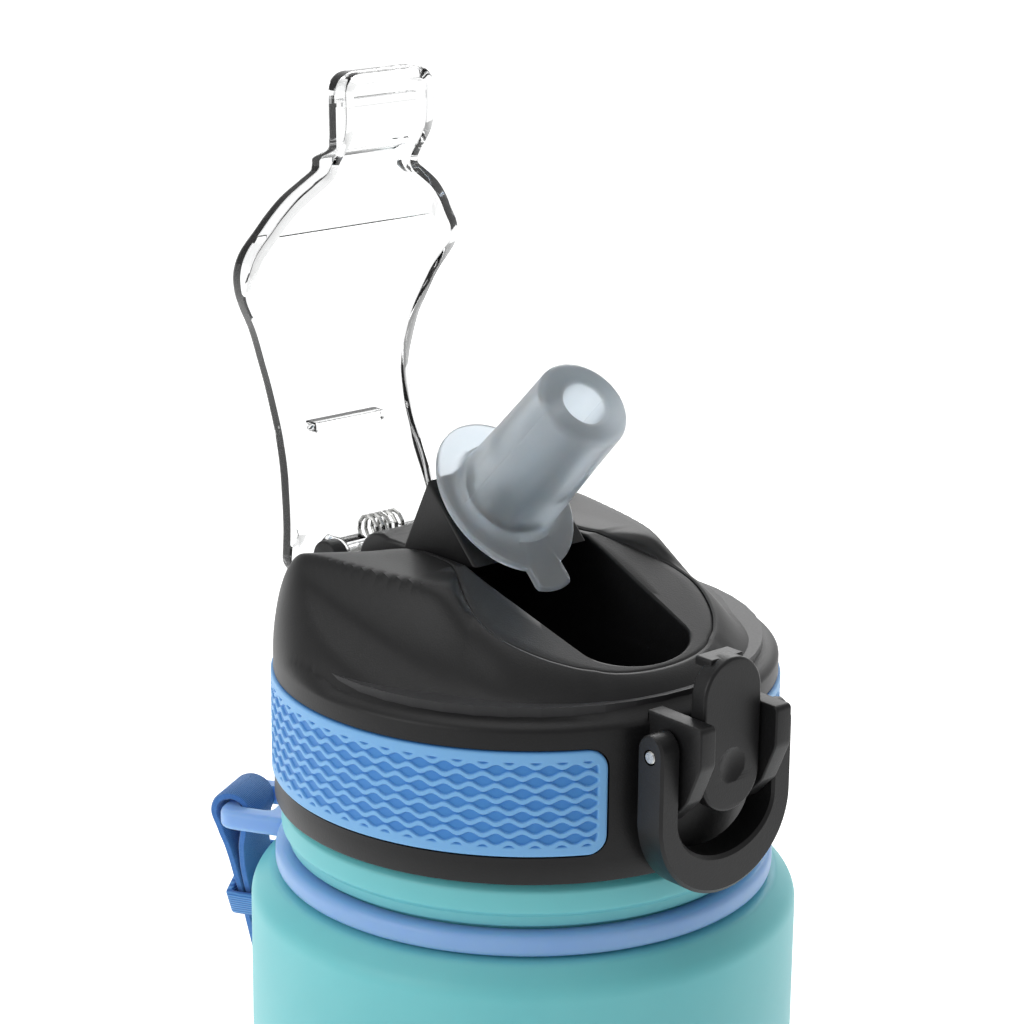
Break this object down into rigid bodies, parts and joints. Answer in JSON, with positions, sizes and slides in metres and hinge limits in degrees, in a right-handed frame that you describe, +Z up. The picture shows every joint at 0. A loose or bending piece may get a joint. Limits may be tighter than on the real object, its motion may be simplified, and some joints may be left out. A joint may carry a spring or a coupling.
{
  "type": "sports bottle",
  "caption": "Tall frosted drinking bottle with a screw cap, clear flip cover, flip-up soft spout, push latch with swing lock, and a carry ring with a wrist strap.",
  "frame": {"origin": "centre of the flat base on which the bottle stands", "axes": "+Z up along the bottle, -Y towards the latch, +X to the right seen from the latch"},
  "size_m": [0.078, 0.0968, 0.3388],
  "materials": {
    "bottle_plastic": "frosted translucent turquoise, satin",
    "ring_plastic": "light blue, satin",
    "strap_webbing": "woven light-blue webbing",
    "cap_plastic": "black, fine satin",
    "liner_plastic": "dark grey",
    "clear_silicone": "translucent silicone",
    "grip_silicone": "light-blue silicone with a wave relief",
    "clear_plastic": "clear, polished",
    "pin_steel": "bright steel",
    "straw_plastic": "clear tube",
    "latch_plastic": "black, satin"
  },
  "bodies": {
    "bottle": {"bottle_body": "bottle_plastic"},
    "ring": {"carry_ring": "ring_plastic"},
    "strap": {"wrist_strap": "strap_webbing", "strap_clip": "strap_webbing"},
    "gasket": {"cap_gasket": "clear_silicone"},
    "cap": {"cap_shell": "cap_plastic", "cap_liner": "liner_plastic", "grip_panel_left": "grip_silicone", "grip_panel_right": "grip_silicone", "cover_hinge_pin": "pin_steel", "cover_spring": "pin_steel", "spout_pin": "pin_steel", "spout_seal": "clear_silicone", "vent_valve": "clear_silicone", "straw": "straw_plastic", "latch_pin": "pin_steel", "latch_spring": "pin_steel"},
    "cover": {"flip_cover": "clear_plastic"},
    "spout": {"spout_arm": "cap_plastic", "mouthpiece": "clear_silicone"},
    "button": {"latch_button": "latch_plastic"},
    "bail": {"lock_bail": "latch_plastic"}
  },
  "joints": [
    {"name": "cap_lift", "type": "slide", "parent": "bottle", "child": "gasket", "axis": [0, 0, 1], "range_m": [0, 0.0081]},
    {"name": "cap_unscrew", "type": "hinge", "parent": "gasket", "child": "cap", "pos_m": [0, 0, 0.24], "axis": [0, 0, 1], "range_deg": [0, 720]},
    {"name": "ring_turn", "type": "hinge", "parent": "bottle", "child": "ring", "pos_m": [0, 0, 0.2311], "axis": [0, 0, 1], "continuous": true},
    {"name": "strap_swing", "type": "hinge", "parent": "ring", "child": "strap", "pos_m": [-0.022, 0.03811, 0.23115], "axis": [0.866, 0.5, 0], "range_deg": [0, 100]},
    {"name": "cover_hinge", "type": "hinge", "parent": "cap", "child": "cover", "pos_m": [0, 0.0328, 0.2677], "axis": [1, 0, 0], "range_deg": [0, 91], "stiffness_Nm_per_rad": 0.004, "springref_deg": -28.65},
    {"name": "spout_fold", "type": "hinge", "parent": "cap", "child": "spout", "pos_m": [0, 0.02, 0.27], "axis": [1, 0, 0], "range_deg": [0, 60]},
    {"name": "button_rock", "type": "hinge", "parent": "cap", "child": "button", "pos_m": [0, -0.0385, 0.2589], "axis": [1, 0, 0], "range_deg": [0, 8], "stiffness_Nm_per_rad": 0.03, "springref_deg": -5.73},
    {"name": "bail_swing", "type": "hinge", "parent": "cap", "child": "bail", "pos_m": [0, -0.0385, 0.2589], "axis": [-1, 0, 0], "range_deg": [0, 200]}
  ],
  "couplings": [
    {"joint": "cap_lift", "follows": "cap_unscrew", "m_per_rad": 0.00063662},
    {"joint": "spout_fold", "follows": "cover_hinge", "ratio": 0.65934}
  ]
}
